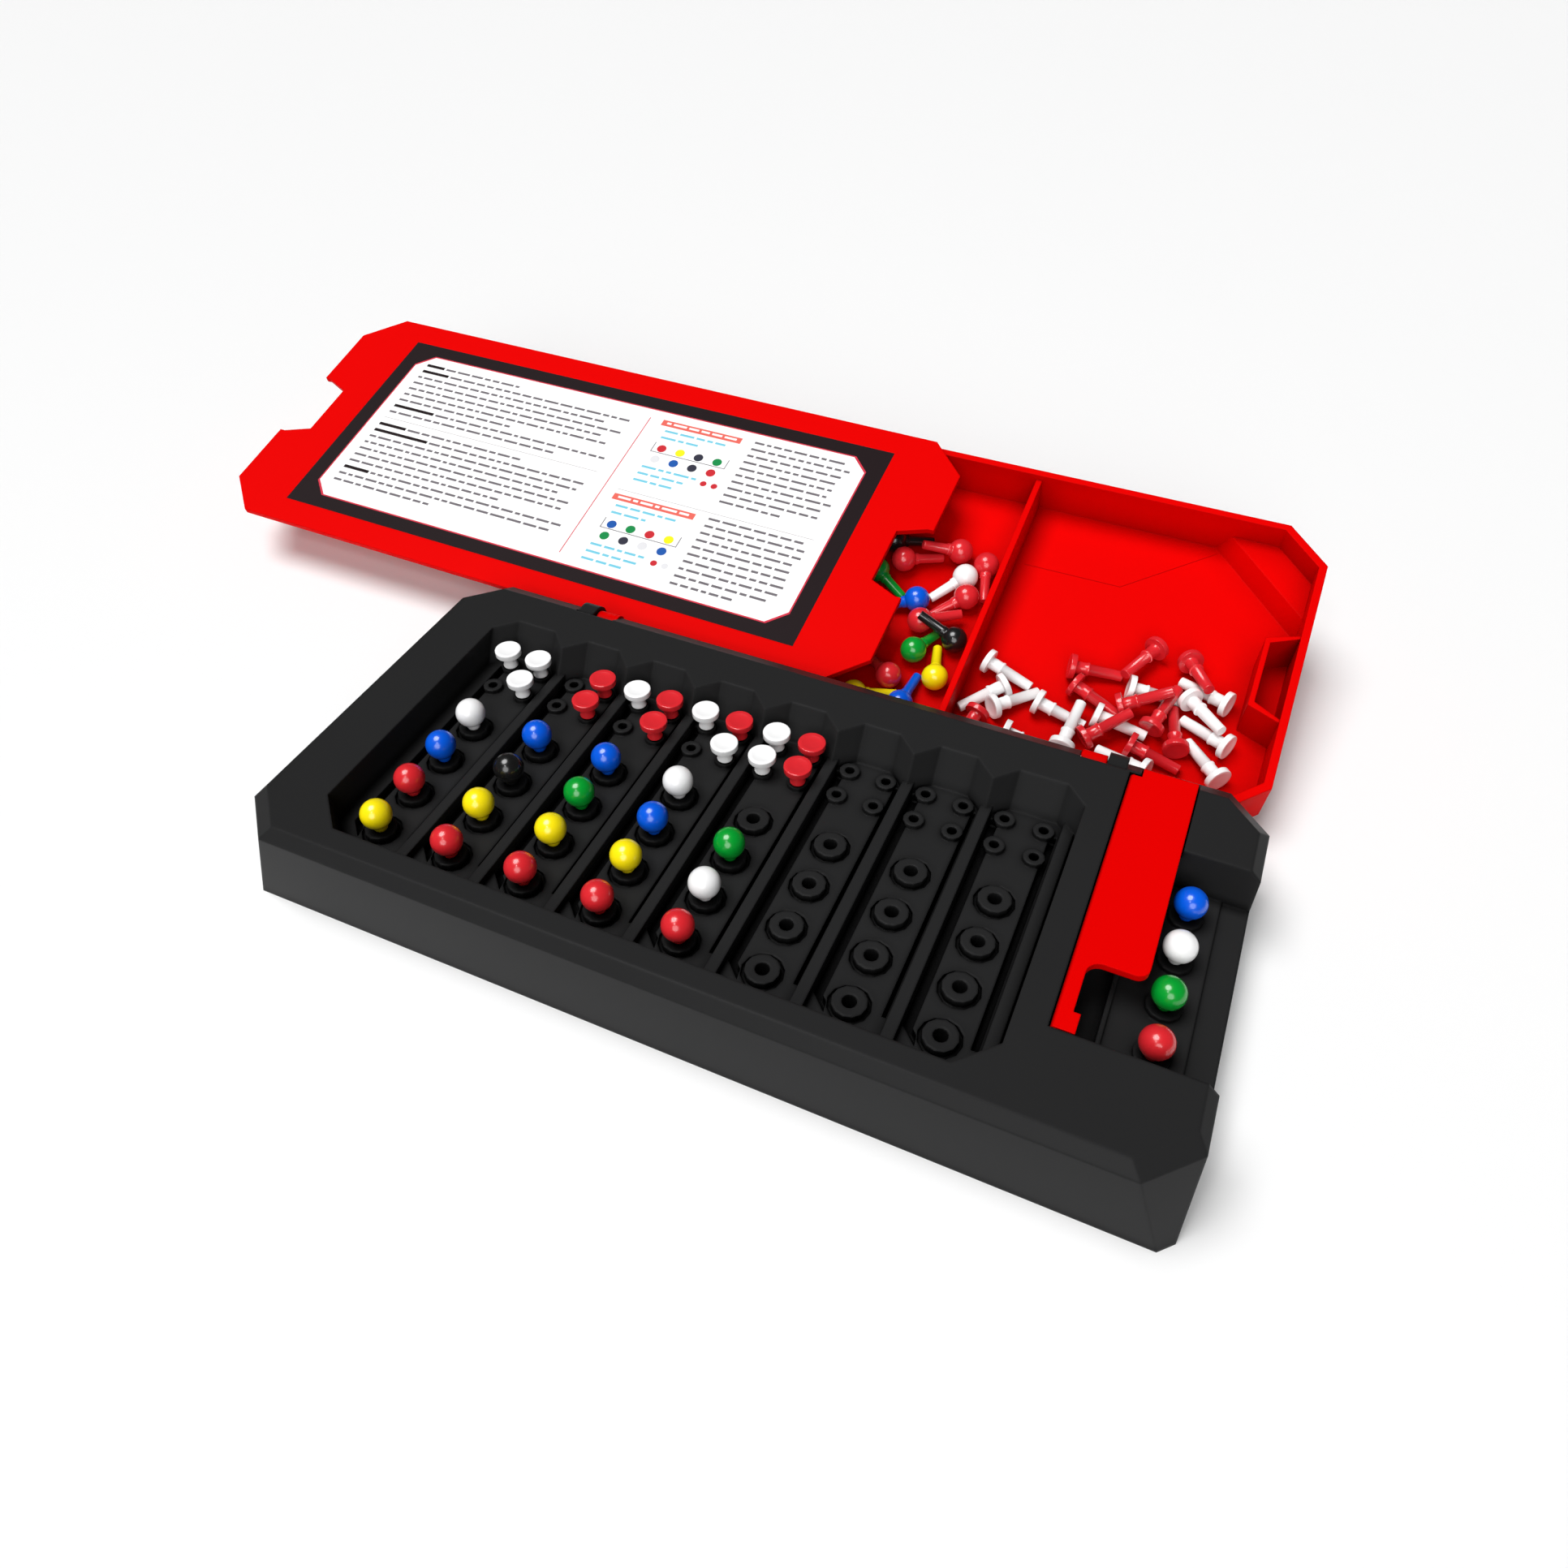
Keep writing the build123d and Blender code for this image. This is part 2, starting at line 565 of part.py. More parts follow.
def lying_key_peg(peg, place):
    length = KEY_HEAD_TOP + KEY_SHANK_LENGTH
    return lying(peg, length, KEY_HEAD_TOP, KEY_HEAD_RADIUS, KEY_SHANK_RADIUS, place)


# Colours of the code pegs from front to back, row by row, and of the secret code
GUESSES = (
    ("yellow", "red", "blue", "white"),
    ("red", "yellow", "black", "blue"),
    ("red", "yellow", "green", "blue"),
    ("red", "yellow", "blue", "white"),
    ("red", "white", "green", None),
)
SECRET = ("red", "green", "white", "blue")

# Answers: row, side and step of each key peg, by colour
ANSWERS = {
    "white": ((0, -1, 1), (0, 1, 1), (0, 1, 0), (2, -1, 1), (3, -1, 1), (3, 1, 0), (4, -1, 1), (4, -1, 0)),
    "red": ((1, 1, 1), (1, 1, 0), (2, 1, 1), (2, 1, 0), (3, 1, 1), (4, 1, 1), (4, 1, 0)),
}

# Loose pegs in the tray: place along it, distance from its front rim, turn, and rise of the tip
LOOSE_CODE = {
    "red": (
        (-4, 69, 210, 0), (13, 78, 25, 8), (23, 75, 105, 0),
        (21, 60, 45, 0), (10, 46, 210, 2.6), (8, 22, 325, 0),
    ),
    "white": ((18, 68, 50, 0),),
    "blue": ((6, 54, 25, 0), (15, 13, 265, 0)),
    "green": ((12, 34, 245, 0), (-11, 62, 150, 0)),
    "yellow": ((22, 26, 285, 0), (0, 12, 205, 0), (-7, 32, 245, 0)),
    "black": ((23, 42, 350, 8), (-10, 76, 205, 0)),
}
LOOSE_KEY = {
    "white": (
        (44, 31, 45, 0), (42, 21, 225, 0), (112, 18, 315, 0), (112, 30, 335, 0), (109, 45, 340, 0),
        (72, 29, 175, 0), (79, 42, 185, 0), (35, 38, 165, 0), (54, 28, 170, 0), (48, 14, 175, 0),
        (97, 44, 135, 6), (66, 14, 265, 4), (80, 11, 0, 2.6), (92, 14, 345, 0),
    ),
    "red": (
        (60, 44, 190, 0), (84, 60, 65, 4), (94, 58, 120, 8), (63, 38, 160, 0), (78, 34, 205, 8),
        (39, 19, 75, 0), (71, 19, 225, 6), (89, 29, 255, 4), (98, 24, 285, 0), (60, 7, 185, 0),
        (84, 22, 170, 0),
    ),
}


def gather(pieces):
    return Compound(children=list(pieces))


def build():
    """Every node of the game by name."""
    code = code_peg()
    key = key_peg()
    nodes = {
        "case_shell": case_shell(),
        "hinge_pin_left": hinge_pin(-1),
        "hinge_pin_right": hinge_pin(1),
        "code_flap": flap(),
        "storage_tray": tray(),
        "tray_lid": lid(),
        "rule_card": card(),
    }
    for colour in ("red", "yellow", "blue", "white", "green", "black"):
        pegs = []
        for row, guess in enumerate(GUESSES):
            places = code_places(row)
            pegs += [Pos(*places[k], BOSS_TOP) * code for k, name in enumerate(guess) if name == colour]
        nodes["guess_pegs_" + colour] = gather(pegs)
    for (x, y), colour in zip(pit_places(), SECRET):
        nodes["secret_peg_" + colour] = Pos(x, y, PIT_BOSS_TOP) * code
    for colour, places in ANSWERS.items():
        pegs = [Pos(*key_place(*place), KEY_BOSS_TOP) * key for place in places]
        nodes["key_pegs_" + colour] = gather(pegs)
    for colour, places in LOOSE_CODE.items():
        nodes["spare_code_pegs_" + colour] = gather(lying_code_peg(code, place) for place in places)
    for colour, places in LOOSE_KEY.items():
        nodes["spare_key_pegs_" + colour] = gather(lying_key_peg(key, place) for place in places)
    return nodes


os.makedirs("parts", exist_ok=True)
for name, shape in build().items():
    export_step(shape, os.path.join("parts", name + ".step"))
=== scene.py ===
import math

import bpy
import numpy as np
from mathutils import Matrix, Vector


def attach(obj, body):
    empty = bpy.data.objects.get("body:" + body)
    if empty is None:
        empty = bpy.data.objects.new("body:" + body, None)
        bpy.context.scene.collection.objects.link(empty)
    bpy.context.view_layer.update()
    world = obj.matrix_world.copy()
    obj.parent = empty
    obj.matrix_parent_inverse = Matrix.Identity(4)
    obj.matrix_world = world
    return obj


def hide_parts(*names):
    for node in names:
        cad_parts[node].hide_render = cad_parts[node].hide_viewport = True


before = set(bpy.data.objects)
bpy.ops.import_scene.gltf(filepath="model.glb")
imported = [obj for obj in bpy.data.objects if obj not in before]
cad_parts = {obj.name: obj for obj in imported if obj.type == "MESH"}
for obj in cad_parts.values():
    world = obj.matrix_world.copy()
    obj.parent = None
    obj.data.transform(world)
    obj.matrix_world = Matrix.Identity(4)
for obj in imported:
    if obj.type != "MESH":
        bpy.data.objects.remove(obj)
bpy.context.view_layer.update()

# The view: the camera stands in front of the right half of the case and looks down on it from
# the right. Its lens and place are worked out from the regular grid of holes in the board.
camera_place = (0.0882, -0.1796, 0.2475)
camera_azimuth = math.radians(23.87)
camera_elevation = math.radians(46.31)
lens_mm = 25.94
sensor_mm = 36.0
nearest_seen = 0.01

looks_along = Vector((
    -math.sin(camera_azimuth) * math.cos(camera_elevation),
    math.cos(camera_azimuth) * math.cos(camera_elevation),
    -math.sin(camera_elevation),
))
camera_data = bpy.data.cameras.new("camera")
camera_data.lens = lens_mm
camera_data.sensor_width = sensor_mm
camera_data.clip_start = nearest_seen
camera = bpy.data.objects.new("camera", camera_data)
camera.location = camera_place
camera.rotation_euler = looks_along.to_track_quat("-Z", "Y").to_euler()
bpy.context.scene.collection.objects.link(camera)
bpy.context.scene.camera = camera
bpy.context.scene.view_settings.view_transform = "Standard"


# The light: a broad soft light from high on the left, a weak one from the front, a small lamp
# near the camera that puts the bright point on the pegs, and a pale room, dimmer overhead.
def aimed(lamp, place, aim):
    """Stand a lamp at a place, turned towards a point."""
    lamp.location = place
    lamp.rotation_euler = (Vector(aim) - Vector(place)).to_track_quat("-Z", "Y").to_euler()
    bpy.context.scene.collection.objects.link(lamp)


def broad_light(name, place, strength, spread):
    """Even light over everything, from the direction of a place, softened by its spread in degrees."""
    data = bpy.data.lights.new(name, "SUN")
    data.energy = strength
    data.angle = math.radians(spread)
    aimed(bpy.data.objects.new(name, data), place, (0.0, 0.0, 0.0))


broad_light("high_light", (-0.30, -0.10, 0.90), strength=2.8, spread=35.0)
broad_light("front_light", (0.20, -0.90, 0.55), strength=1.5, spread=40.0)

peg_lamp_width = 0.06
peg_lamp_watts = 0.4
peg_lamp_place = (-0.06, -0.42, 0.62)
peg_lamp_aim = (0.0, 0.0, 0.02)
peg_lamp = bpy.data.lights.new("peg_lamp", "AREA")
peg_lamp.size = peg_lamp_width
peg_lamp.energy = peg_lamp_watts
aimed(bpy.data.objects.new("peg_lamp", peg_lamp), peg_lamp_place, peg_lamp_aim)

# The room's light falls from the walls' to the ceiling's between these two heights, out of 1
wall_light, overhead_light = 1.25, 0.45
fade_starts, fade_ends = 0.15, 0.75
world = bpy.data.worlds.new("studio")
world.use_nodes = True
sky = world.node_tree
sky_place = sky.nodes.new("ShaderNodeTexCoord")
sky_split = sky.nodes.new("ShaderNodeSeparateXYZ")
sky_fade = sky.nodes.new("ShaderNodeMapRange")
sky_fade.inputs["From Min"].default_value = fade_starts
sky_fade.inputs["From Max"].default_value = fade_ends
sky_fade.inputs["To Min"].default_value = wall_light
sky_fade.inputs["To Max"].default_value = overhead_light
sky.links.new(sky_place.outputs["Generated"], sky_split.inputs[0])
sky.links.new(sky_split.outputs["Z"], sky_fade.inputs["Value"])
sky.links.new(sky_fade.outputs["Result"], sky.nodes["Background"].inputs["Strength"])
bpy.context.scene.world = world


# The floor is a plain pale matt sheet, far larger than the game that stands on it. It is no part
# of the game: it only takes its shadow.
def new_piece(name, points, faces, materials, smooth=False):
    """Object standing at the origin, from points in metres and the corners of each face."""
    mesh = bpy.data.meshes.new(name)
    mesh.from_pydata(points.tolist(), [], faces)
    mesh.polygons.foreach_set("use_smooth", np.full(len(faces), smooth))
    for material in materials:
        mesh.materials.append(material)
    thing = bpy.data.objects.new(name, mesh)
    bpy.context.scene.collection.objects.link(thing)
    return thing


def principled(name, colour, roughness):
    """New material and its shader, with its colour and roughness set."""
    material = bpy.data.materials.new(name)
    material.use_nodes = True
    shader = material.node_tree.nodes["Principled BSDF"]
    shader.inputs["Base Color"].default_value = (*colour, 1.0)
    shader.inputs["Roughness"].default_value = roughness
    return material, shader


floor_half = 3.0
floor_points = floor_half * np.array([(-1, -1, 0), (1, -1, 0), (1, 1, 0), (-1, 1, 0)])
pale_floor = principled("pale_floor", (0.86, 0.86, 0.86), 0.9)[0]
floor = new_piece("floor", floor_points, [(0, 1, 2, 3)], [pale_floor])


# The black case is one moulding in satin black plastic with a fine spark-eroded grain. Its outer
# edges are softened by the mould, and handling has left it slightly uneven in gloss. Its grooves,
# moats and hollows are darkened with painted shade.
grain_detail = 3.0
grain_depth = 0.0001
slow_scale = 22.0
slow_detail = 4.0
crevice_samples = 8
edge_samples = 6


def moulded_surface_group():
    """Node group for moulded plastic: a fine grain and a slow unevenness of tone and gloss.

    Tone is 1 plus the slow noise less a half, times its spread. It is cut by painted shade, as deep
    as the crevice shade input asks, in the narrow places within Crevice Reach of a wall, so grooves,
    hollows and the feet of pegs come out darker. Gloss Shift is the noise's part alone. Normal is
    that of the edges rounded by Edge Radius, roughened by the fine grain.
    """
    tree = bpy.data.node_groups.new("moulded_surface", "ShaderNodeTree")
    inputs = {"Grain Scale": 1800.0, "Grain Strength": 0.1, "Tone Spread": 0.1,
              "Edge Radius": 0.0005, "Crevice Reach": 0.003, "Painted Crevice Shade": 0.0}
    for label, start in inputs.items():
        tree.interface.new_socket(
            name=label, in_out="INPUT", socket_type="NodeSocketFloat").default_value = start
    outputs = {"Tone": "NodeSocketFloat", "Gloss Shift": "NodeSocketFloat", "Normal": "NodeSocketVector"}
    for label, kind in outputs.items():
        tree.interface.new_socket(name=label, in_out="OUTPUT", socket_type=kind)
    nodes, link = tree.nodes, tree.links.new
    entry = nodes.new("NodeGroupInput").outputs
    leave = nodes.new("NodeGroupOutput").inputs
    place = nodes.new("ShaderNodeTexCoord").outputs["Object"]

    def noise(detail):
        """Noise over the piece's own coordinates."""
        node = nodes.new("ShaderNodeTexNoise")
        node.inputs["Detail"].default_value = detail
        link(place, node.inputs["Vector"])
        return node

    def result_of(operation, first, second, clamped=False):
        """Output of a Math node whose two terms are sockets or plain numbers."""
        node = nodes.new("ShaderNodeMath")
        node.operation = operation
        node.use_clamp = clamped
        for socket, term in zip(node.inputs, (first, second)):
            if isinstance(term, float):
                socket.default_value = term
            else:
                link(term, socket)
        return node.outputs[0]

    grain = noise(grain_detail)
    link(entry["Grain Scale"], grain.inputs["Scale"])
    slow = noise(slow_detail)
    slow.inputs["Scale"].default_value = slow_scale
    # Painted shade: the colour is darkened where walls stand near, in grooves, hollows and round pegs
    crevice = nodes.new("ShaderNodeAmbientOcclusion")
    crevice.samples = crevice_samples
    link(entry["Crevice Reach"], crevice.inputs["Distance"])
    spread = result_of("MULTIPLY", result_of("SUBTRACT", slow.outputs["Fac"], 0.5), entry["Tone Spread"])
    painted_shade = result_of("MULTIPLY", result_of("SUBTRACT", 1.0, crevice.outputs["AO"]), entry["Painted Crevice Shade"])
    open_share = result_of("SUBTRACT", 1.0, painted_shade, clamped=True)
    link(result_of("MULTIPLY", result_of("ADD", spread, 1.0), open_share), leave["Tone"])
    link(spread, leave["Gloss Shift"])
    edge = nodes.new("ShaderNodeBevel")
    edge.samples = edge_samples
    link(entry["Edge Radius"], edge.inputs["Radius"])
    bump = nodes.new("ShaderNodeBump")
    bump.inputs["Distance"].default_value = grain_depth
    link(entry["Grain Strength"], bump.inputs["Strength"])
    link(grain.outputs["Fac"], bump.inputs["Height"])
    link(edge.outputs["Normal"], bump.inputs["Normal"])
    link(bump.outputs["Normal"], leave["Normal"])
    return tree


moulded_surface = moulded_surface_group()


def moulded_plastic(name, colour, roughness, grain_scale, grain, spread, edge, reach=0.003, painted_shade=0.0):
    """Plastic with the moulded surface: colour times tone, roughness plus the gloss shift."""
    material, shader = principled(name, colour, roughness)
    nodes, link = material.node_tree.nodes, material.node_tree.links.new
    surface = nodes.new("ShaderNodeGroup")
    surface.node_tree = moulded_surface
    values = {"Grain Scale": grain_scale, "Grain Strength": grain, "Tone Spread": spread,
              "Edge Radius": edge, "Crevice Reach": reach, "Painted Crevice Shade": painted_shade}
    for label, value in values.items():
        surface.inputs[label].default_value = value
    # Colour times tone: its random unevenness, and painted shade in the narrow places
    tint = nodes.new("ShaderNodeVectorMath")
    tint.operation = "SCALE"
    tint.inputs[0].default_value = colour
    link(surface.outputs["Tone"], tint.inputs["Scale"])
    link(tint.outputs["Vector"], shader.inputs["Base Color"])
    shift = nodes.new("ShaderNodeMath")
    shift.operation = "ADD"
    shift.inputs[1].default_value = roughness
    link(surface.outputs["Gloss Shift"], shift.inputs[0])
    link(shift.outputs[0], shader.inputs["Roughness"])
    link(surface.outputs["Normal"], shader.inputs["Normal"])
    return material, shader


def finish_node(node, material):
    """Give a CAD node one material in its slots."""
    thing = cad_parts[node]
    if not thing.data.materials:
        thing.data.materials.append(material)
    for material_slot in thing.material_slots:
        material_slot.material = material


# Painted shade darkens the black strongly in its grooves and hollows and round the pegs
black_plastic, black_shader = moulded_plastic(
    "black_case_plastic", (0.0180, 0.0180, 0.0183), roughness=0.33, grain_scale=2600.0, grain=0.10,
    spread=0.10, edge=0.0011, reach=0.0035, painted_shade=1.5)
black_shader.inputs["Specular IOR Level"].default_value = 0.045
finish_node("case_shell", black_plastic)

# The two hinge pins are short lengths of drawn steel wire. They are pressed through the lugs at
# the back of the case, and the tray's knuckles turn on them.
pin_steel, pin_shader = moulded_plastic(
    "pin_steel", (0.55, 0.55, 0.56), roughness=0.32, grain_scale=900.0, grain=0.05, spread=0.1, edge=0.0001)
pin_shader.inputs["Metallic"].default_value = 1.0
finish_node("hinge_pin_left", pin_steel)
finish_node("hinge_pin_right", pin_steel)

# The flap over the secret code, the storage tray and its lid are moulded in one bright red with
# a soft gloss. The tray swings on the pins and the flap clips into the case by its own pins.
# Painted shade deepens the red in the tray's corners, along its walls and under the pegs
red_plastic, red_shader = moulded_plastic(
    "red_case_plastic", (0.70, 0.0003, 0.0002), roughness=0.45, grain_scale=2200.0, grain=0.05,
    spread=0.03, edge=0.0006, reach=0.010, painted_shade=0.6)
red_shader.inputs["Specular IOR Level"].default_value = 0.02
for red_node in ("code_flap", "storage_tray", "tray_lid"):
    finish_node(red_node, red_plastic)


# The rule card is a printed sheet let into the lid: a near-black border round a white panel with
# cut corners and a thin red line. Bars stand where the lines of reading are, and dots for pegs.
def moved(x, y, z):
    """4 by 4 matrix of a move, in millimetres."""
    matrix = np.eye(4)
    matrix[:3, 3] = (x, y, z)
    return matrix


def turned(axis, degrees):
    """4 by 4 matrix of a turn about an axis: 0 for X, 1 for Y and 2 for Z."""
    first, second = (axis + 1) % 3, (axis + 2) % 3
    angle = math.radians(degrees)
    matrix = np.eye(4)
    matrix[first, first] = matrix[second, second] = math.cos(angle)
    matrix[second, first] = math.sin(angle)
    matrix[first, second] = -math.sin(angle)
    return matrix


def placed(matrix, points):
    """Points in millimetres, moved by a matrix and given in metres."""
    return (points @ matrix[:3, :3].T + matrix[:3, 3]) / 1000.0


# The tray's place: its tilt in degrees, and how far back and how high its front rim is. The lid
# lies on it: its middle along the tray, off its front rim and over it, and its turn in degrees.
tray_tilt = 14.3
tray_front_y = 60.0
tray_rim_z = 15.9
lid_middle = (-121.3, 59.9, 0.3)
lid_turn = -0.7
on_tray = moved(0, tray_front_y, tray_rim_z) @ turned(0, tray_tilt)
lid_place = on_tray @ moved(*lid_middle) @ turned(2, lid_turn)
card_top = 1.8
card_half = np.array((101.0, 44.25))
border = np.array((6.6, 6.0))
panel_half = card_half - border
panel_cut = 6.0
panel_line = 0.55
ink_step = 0.02
ink_depth = 0.1


def cut_sheet(half, cut):
    """Outline of a rectangle with cut corners: eight points from the lower right, turning left."""
    x, y = half
    return np.array([(x - cut, -y), (x, -y + cut), (x, y - cut), (x - cut, y),
                     (-x + cut, y), (-x, y - cut), (-x, -y + cut), (-x + cut, -y)])


def bars(corners):
    """Outlines of rectangles from rows of left, lower, right and upper: k by 4 by 2."""
    a = np.atleast_2d(np.asarray(corners, float))
    return np.stack([a[:, (0, 1)], a[:, (2, 1)], a[:, (2, 3)], a[:, (0, 3)]], axis=1)


dot_steps = 20


def dots(places, radius):
    """Outlines of discs: each place plus the radius times the cosine and sine of the turn."""
    angle = np.linspace(0, 2 * math.pi, dot_steps, endpoint=False)
    ring = radius * np.stack([np.cos(angle), np.sin(angle)], axis=1)
    return np.asarray(places, float)[:, None, :] + ring[None, :, :]


def printed(outlines, low, high):
    """Thin closed layers over outlines of n points: the points at two heights, joined by sides."""
    count, n = outlines.shape[:2]
    levels = [np.concatenate([outlines, np.full((count, n, 1), z)], axis=2) for z in (low, high)]
    points = np.concatenate(levels, axis=1).reshape(-1, 3)
    first = np.arange(count)[:, None] * 2 * n
    step = np.arange(n)
    after = (step + 1) % n
    sides = np.stack([step, after, after + n, step + n], axis=1)
    sides = (first[:, :, None] + sides[None]).reshape(-1, 4)
    tops = first + n + step
    bottoms = first + step[::-1]
    return points, sides.tolist() + tops.tolist() + bottoms.tolist()


card_points = []
card_faces = []
card_inks = []
card_materials = []


def print_layer(outlines, layer, material):
    """Add a layer of one ink to the card. Each layer stands a step over the last."""
    if material not in card_materials:
        card_materials.append(material)
    offset = sum(len(p) for p in card_points)
    points, faces = printed(outlines, card_top - ink_depth, card_top + ink_step * layer)
    card_points.append(points)
    card_faces.extend([corner + offset for corner in face] for face in faces)
    card_inks.extend([card_materials.index(material)] * len(faces))


def ink(name, colour):
    """Matt printing ink or paper, with a fine grain and faintly uneven cover."""
    material, shader = moulded_plastic(
        name, colour, roughness=0.6, grain_scale=1200.0, grain=0.05, spread=0.06, edge=0.0)
    shader.inputs["Specular IOR Level"].default_value = 0.15
    return material


border_ink = ink("border_ink", (0.0085, 0.0024, 0.0036))
paper = ink("card_paper", (0.90, 0.90, 0.90))
edge_red = ink("edge_red_ink", (0.60, 0.03, 0.06))
text_grey = ink("text_ink", (0.15, 0.135, 0.15))
faint_grey = ink("faint_ink", (0.42, 0.38, 0.40))
title_red = ink("title_ink", (0.75, 0.13, 0.10))
caption_blue = ink("caption_ink", (0.16, 0.55, 0.70))
dot_colour = {
    "red": (0.55, 0.02, 0.03), "yellow": (0.90, 0.80, 0.01), "green": (0.005, 0.24, 0.06),
    "blue": (0.01, 0.09, 0.38), "black": (0.03, 0.03, 0.05), "white": (0.70, 0.70, 0.72),
}
dot_ink = {name: ink("dot_" + name + "_ink", colour) for name, colour in dot_colour.items()}
finish_node("rule_card", border_ink)

print_layer(cut_sheet(panel_half + panel_line, panel_cut)[None], 1, edge_red)
print_layer(cut_sheet(panel_half, panel_cut)[None], 2, paper)

divider_x, divider_width = 9.5, 0.35
divider_reach = panel_half[1] - 4.0
divider = (divider_x, -divider_reach, divider_x + divider_width, divider_reach)
print_layer(bars([divider]), 3, edge_red)

word_seed = 7
draw = np.random.default_rng(word_seed)
line_pitch = 3.3
word_height = 0.95
word_gap = 1.0
shortest_word, longest_word = 1.6, 6.0
least_room = 1.5


def word_bars(left, right, top, lines, share=1.0):
    """Rows of short bars from the left to about the right, row by row down. The last is shorter."""
    rows = []
    for line in range(lines):
        x = left
        end = left + (right - left) * (share if line == lines - 1 else draw.uniform(0.9, 1.0))
        y = top - line * line_pitch
        while x < end - least_room:
            length = min(draw.uniform(shortest_word, longest_word), end - x)
            rows.append((x, y - word_height, x + length, y))
            x += length + word_gap
    return rows


# Paragraphs of the left half: top, number of rows, share of the last row that is filled, and
# length of the bold opening bar
left_edge, left_end = -89.5, 4.0
rule_y, rule_width = 3.4, 0.2
bold_below, bold_above = 0.15, 0.25
paragraphs = ((34.0, 1, 0.40, 8.0), (30.6, 6, 0.55, 12.0), (10.6, 2, 0.80, 18.0),
              (0.4, 1, 0.62, 12.0), (-3.0, 6, 0.70, 24.0), (-23.0, 3, 0.45, 11.0))
for top, lines, share, bold in paragraphs:
    opening = (left_edge, top - word_height - bold_below, left_edge + bold, top + bold_above)
    first_row = word_bars(left_edge + bold + word_gap, left_end, top, 1, share if lines == 1 else 1.0)
    more_rows = word_bars(left_edge, left_end, top - line_pitch, lines - 1, share)
    print_layer(bars([opening]), 3, border_ink)
    print_layer(bars(first_row + more_rows), 3, text_grey)
print_layer(bars([(left_edge, rule_y, left_end, rule_y + rule_width)]), 3, faint_grey)

# The two examples of the right half: a title bar, two rows of dots with a frame round the upper,
# small dots for the answer, captions and rows of reading. A drop is measured from the top.
dot_radius, dot_pitch, dot_left = 1.75, 7.4, 21.0
upper_drop, lower_drop = 13.6, 19.0
answer_radius, answer_pitch, answer_left, answer_drop = 1.2, 4.2, 43.0, 24.5
title_left, title_end, title_height = 15.0, 47.0, 2.8
frame_side, frame_top_drop, frame_foot_drop, frame_line = 3.6, 11.2, 15.9, 0.3
reading_left, reading_end, reading_lines, reading_share = 52.0, 90.0, 10, 0.6
middle_rule = (title_left, -1.6, reading_end, -1.4)

# Rows of words in an example: left, end, drop, number of rows, share of the last row
title_words = (17.0, 45.5, 0.8, 1, 1.0)
upper_caption = (18.0, 44.0, 4.6, 2, 0.6)
lower_caption = (18.0, 40.0, 23.0, 3, 0.7)
examples = (
    (34.6, ("red", "yellow", "black", "green"), ("white", "blue", "black", "red"), ("red", "red")),
    (-3.6, ("blue", "green", "red", "yellow"), ("green", "black", "white", "blue"), ("red", "white")),
)


def words_below(top, left, right, drop, lines, share):
    """Outlines of rows of words that start a drop below the top of an example."""
    return bars(word_bars(left, right, top - drop, lines, share))


for top, upper, lower, answer in examples:
    print_layer(bars([(title_left, top - title_height, title_end, top)]), 3, title_red)
    print_layer(words_below(top, *title_words), 4, paper)
    print_layer(words_below(top, *upper_caption), 3, caption_blue)
    for colours, drop in ((upper, upper_drop), (lower, lower_drop)):
        for k, colour in enumerate(colours):
            print_layer(dots([(dot_left + k * dot_pitch, top - drop)], dot_radius), 3, dot_ink[colour])
    for k, colour in enumerate(answer):
        place = (answer_left + k * answer_pitch, top - answer_drop)
        print_layer(dots([place], answer_radius), 3, dot_ink[colour])
    left, right = dot_left - frame_side, dot_left + 3 * dot_pitch + frame_side
    low, high = top - frame_foot_drop, top - frame_top_drop
    frame_lines = [(left, low, left + frame_line, high), (right, low, right + frame_line, high),
                   (left, low, right, low + frame_line)]
    print_layer(bars(frame_lines), 3, text_grey)
    print_layer(words_below(top, *lower_caption), 3, caption_blue)
    reading = word_bars(reading_left, reading_end, top, reading_lines, reading_share)
    print_layer(bars(reading), 3, text_grey)
print_layer(bars([middle_rule]), 3, faint_grey)

card_points = placed(lid_place, np.concatenate(card_points))
card_print = new_piece("card_print", card_points, card_faces, card_materials)
card_print.data.polygons.foreach_set("material_index", np.array(card_inks, dtype=np.int32))
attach(card_print, "lid")


# A faint bent line runs across the tray's floor, where the floor steps at the mark of an insert in
# its mould. It is drawn as a strip that stands a hair over the floor, in a darker red that is painted
# shade along the step. Its bends are given along the tray and off its front rim.
tray_floor_z = -14.6
line_bends = np.array([(33.9, 83.2), (66.3, 83.4), (92.6, 107.1)])
line_half_width = 0.16
line_depth, line_rise = 0.2, 0.02
line_sides = line_half_width * np.array([(0.0, 1.0), (-0.35, 0.94), (-0.67, 0.74)])
line_outline = np.concatenate([line_bends - line_sides, (line_bends + line_sides)[::-1]])
line_points, line_faces = printed(line_outline[None], tray_floor_z - line_depth, tray_floor_z + line_rise)
# The strip's darker red is painted shade along the step in the floor
painted_line_shade, line_shader = moulded_plastic(
    "tray_line_painted_shade", (0.42, 0.0002, 0.0001), roughness=0.5, grain_scale=2200.0, grain=0.05,
    spread=0.03, edge=0.0)
line_shader.inputs["Specular IOR Level"].default_value = 0.02
tray_floor_line = new_piece("tray_floor_line", placed(on_tray, line_points), line_faces, [painted_line_shade])
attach(tray_floor_line, "tray")


